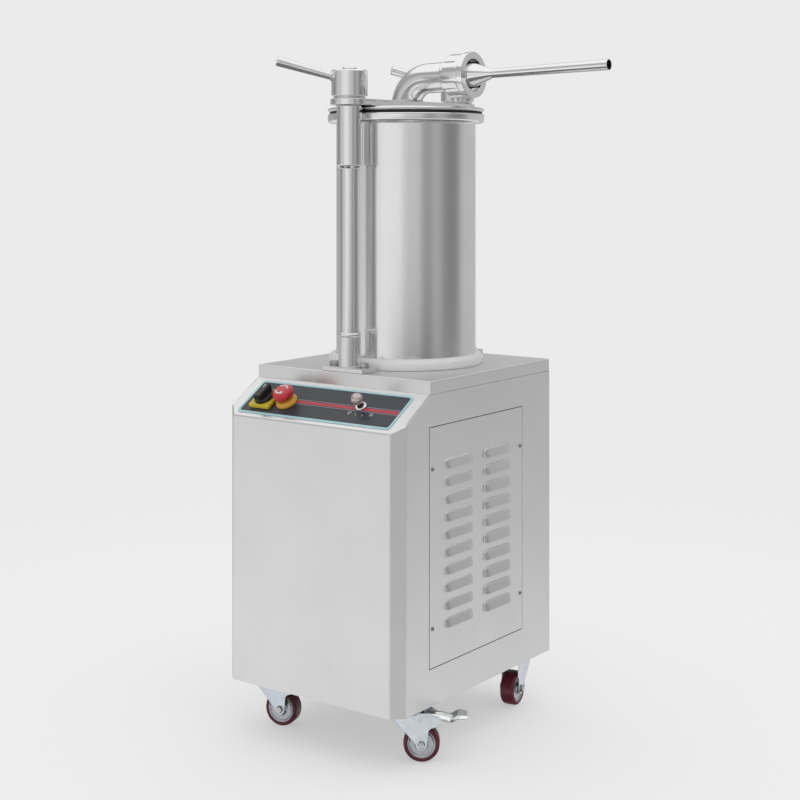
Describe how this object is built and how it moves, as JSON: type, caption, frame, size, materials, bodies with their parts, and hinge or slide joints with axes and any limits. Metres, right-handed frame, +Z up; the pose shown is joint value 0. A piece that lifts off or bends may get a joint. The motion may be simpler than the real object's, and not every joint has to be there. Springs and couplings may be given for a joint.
{
  "type": "sausage stuffer",
  "caption": "Upright hydraulic sausage stuffer: steel drum with clamped swing lid and side nozzle on a wheeled cabinet with sloping control console and louvred sides.",
  "frame": {"origin": "bottom centre of the bounding box, on the floor the casters stand on", "axes": "+Z up, +X to the right along the front of the cabinet and along the spout, +Y towards the back"},
  "size_m": [0.6488, 0.5096, 1.2534],
  "materials": {
    "brushed_sheet": "satin brushed stainless sheet",
    "polished_steel": "polished stainless steel",
    "frame_steel": "machined and grey painted steel",
    "zinc": "bright zinc plated pressed steel",
    "chrome": "polished chrome plate",
    "off_white_plastic": "smooth off-white food grade plastic",
    "black_plastic": "moulded black plastic",
    "black_rubber": "black food grade rubber",
    "yellow_plastic": "moulded yellow plastic",
    "red_plastic": "moulded red plastic",
    "lever_ball": "polished metal ball",
    "label_film": "printed dark slate film on aluminium",
    "polyurethane": "dark maroon polyurethane tread on a grey hub",
    "motor_paint": "blue grey machine enamel"
  },
  "bodies": {
    "cabinet": {"welded_frame": "frame_steel", "front_cover": "brushed_sheet", "back_panel": "brushed_sheet", "deck_cover": "brushed_sheet", "side_panel_left": "brushed_sheet", "side_panel_right": "brushed_sheet", "louvre_panel_left": "brushed_sheet", "louvre_panel_right": "brushed_sheet", "cable_gland": "black_plastic", "hydraulic_cylinder": "frame_steel", "gear_pump": "frame_steel", "motor": "motor_paint", "oil_tank": "motor_paint", "valve_block": "frame_steel", "drum": "polished_steel", "drum_base_ring": "off_white_plastic", "lid_gasket": "black_rubber", "front_post_base": "polished_steel", "rear_post_base": "polished_steel", "front_post": "polished_steel", "rear_post": "polished_steel", "label_plate": "label_film", "switch_base": "yellow_plastic", "estop_collar": "yellow_plastic", "lever_bezel": "chrome", "front_left_caster_plate": "zinc", "front_right_caster_plate": "zinc", "rear_left_caster_plate": "zinc", "rear_right_caster_plate": "zinc"},
    "piston": {"piston": "polished_steel", "piston_seal": "off_white_plastic", "piston_rod": "chrome"},
    "lid": {"lid": "polished_steel", "yoke_bar": "polished_steel", "elbow": "polished_steel"},
    "front_washer": {"front_washer": "frame_steel"},
    "rear_washer": {"rear_washer": "frame_steel"},
    "front_clamp": {"front_nut": "polished_steel", "front_handle": "polished_steel"},
    "rear_clamp": {"rear_nut": "polished_steel", "rear_handle": "polished_steel"},
    "nozzle": {"nozzle": "polished_steel"},
    "coupling_nut": {"coupling_nut": "polished_steel"},
    "switch_knob": {"switch_knob": "black_plastic"},
    "estop_button": {"estop_button": "red_plastic"},
    "speed_lever": {"speed_lever": "lever_ball"},
    "front_left_fork": {"front_left_caster_fork": "zinc", "front_left_caster_axle": "zinc"},
    "front_left_wheel": {"front_left_wheel": "polyurethane"},
    "front_left_pedal": {"front_left_brake_pedal": "chrome"},
    "front_right_fork": {"front_right_caster_fork": "zinc", "front_right_caster_axle": "zinc"},
    "front_right_wheel": {"front_right_wheel": "polyurethane"},
    "front_right_pedal": {"front_right_brake_pedal": "chrome"},
    "rear_left_fork": {"rear_left_caster_fork": "zinc", "rear_left_caster_axle": "zinc"},
    "rear_left_wheel": {"rear_left_wheel": "polyurethane"},
    "rear_right_fork": {"rear_right_caster_fork": "zinc", "rear_right_caster_axle": "zinc"},
    "rear_right_wheel": {"rear_right_wheel": "polyurethane"}
  },
  "joints": [
    {"name": "piston_lift", "type": "slide", "parent": "cabinet", "child": "piston", "axis": [0, 0, 1], "range_m": [0, 0.415]},
    {"name": "lid_swing", "type": "hinge", "parent": "cabinet", "child": "lid", "pos_m": [-0.11744, 0.21375, 1.157], "axis": [0, 0, 1], "range_deg": [0, 110]},
    {"name": "front_clamp_lift", "type": "slide", "parent": "cabinet", "child": "front_washer", "axis": [0, 0, 1], "range_m": [0, 0.006]},
    {"name": "front_clamp_turn", "type": "hinge", "parent": "front_washer", "child": "front_clamp", "pos_m": [-0.11744, -0.13625, 1.19], "axis": [0, 0, 1], "range_deg": [0, 540]},
    {"name": "rear_clamp_lift", "type": "slide", "parent": "cabinet", "child": "rear_washer", "axis": [0, 0, 1], "range_m": [0, 0.006]},
    {"name": "rear_clamp_turn", "type": "hinge", "parent": "rear_washer", "child": "rear_clamp", "pos_m": [-0.11744, 0.21375, 1.19], "axis": [0, 0, 1], "range_deg": [0, 540]},
    {"name": "nozzle_draw", "type": "slide", "parent": "lid", "child": "nozzle", "axis": [0.9995, 0, 0.0305], "range_m": [0, 0.0084]},
    {"name": "coupling_turn", "type": "hinge", "parent": "nozzle", "child": "coupling_nut", "pos_m": [0.01278, 0.03875, 1.20916], "axis": [0.9995, 0, 0.0305], "range_deg": [0, 720]},
    {"name": "switch_turn", "type": "hinge", "parent": "cabinet", "child": "switch_knob", "pos_m": [-0.24844, -0.22166, 0.61659], "axis": [0, -0.5238, 0.8518], "range_deg": [0, 90]},
    {"name": "estop_press", "type": "slide", "parent": "cabinet", "child": "estop_button", "axis": [0, 0.5238, -0.8518], "range_m": [0, 0.006], "stiffness_N_per_m": 900},
    {"name": "speed_tilt", "type": "hinge", "parent": "cabinet", "child": "speed_lever", "pos_m": [-0.03504, -0.20671, 0.61404], "axis": [1, 0, 0], "range_deg": [-22, 15]},
    {"name": "front_left_swivel", "type": "hinge", "parent": "cabinet", "child": "front_left_fork", "pos_m": [-0.27444, -0.17325, 0.086], "axis": [0, 0, 1], "continuous": true},
    {"name": "front_left_roll", "type": "hinge", "parent": "front_left_fork", "child": "front_left_wheel", "pos_m": [-0.24921, -0.16696, 0.0322], "axis": [-0.2419, 0.9703, 0], "continuous": true},
    {"name": "front_left_brake", "type": "hinge", "parent": "front_left_fork", "child": "front_left_pedal", "pos_m": [-0.24145, -0.16502, 0.08], "axis": [-0.2419, 0.9703, 0], "range_deg": [0, 9]},
    {"name": "front_right_swivel", "type": "hinge", "parent": "cabinet", "child": "front_right_fork", "pos_m": [0.03956, -0.17325, 0.086], "axis": [0, 0, 1], "continuous": true},
    {"name": "front_right_roll", "type": "hinge", "parent": "front_right_fork", "child": "front_right_wheel", "pos_m": [0.06111, -0.15871, 0.0322], "axis": [-0.5592, 0.829, 0], "continuous": true},
    {"name": "front_right_brake", "type": "hinge", "parent": "front_right_fork", "child": "front_right_pedal", "pos_m": [0.06775, -0.15424, 0.08], "axis": [-0.5592, 0.829, 0], "range_deg": [0, 9]},
    {"name": "rear_left_swivel", "type": "hinge", "parent": "cabinet", "child": "rear_left_fork", "pos_m": [-0.26544, 0.20475, 0.086], "axis": [0, 0, 1], "continuous": true},
    {"name": "rear_left_roll", "type": "hinge", "parent": "rear_left_fork", "child": "rear_left_wheel", "pos_m": [-0.28901, 0.19376, 0.0322], "axis": [0.4226, -0.9063, 0], "continuous": true},
    {"name": "rear_right_swivel", "type": "hinge", "parent": "cabinet", "child": "rear_right_fork", "pos_m": [0.03056, 0.20475, 0.086], "axis": [0, 0, 1], "continuous": true},
    {"name": "rear_right_roll", "type": "hinge", "parent": "rear_right_fork", "child": "rear_right_wheel", "pos_m": [0.03507, 0.17914, 0.0322], "axis": [0.9848, 0.1736, 0], "continuous": true}
  ],
  "couplings": [
    {"joint": "front_clamp_lift", "follows": "front_clamp_turn", "m_per_rad": 0.00063662},
    {"joint": "rear_clamp_lift", "follows": "rear_clamp_turn", "m_per_rad": 0.00063662},
    {"joint": "nozzle_draw", "follows": "coupling_turn", "m_per_rad": 0.00066845}
  ]
}
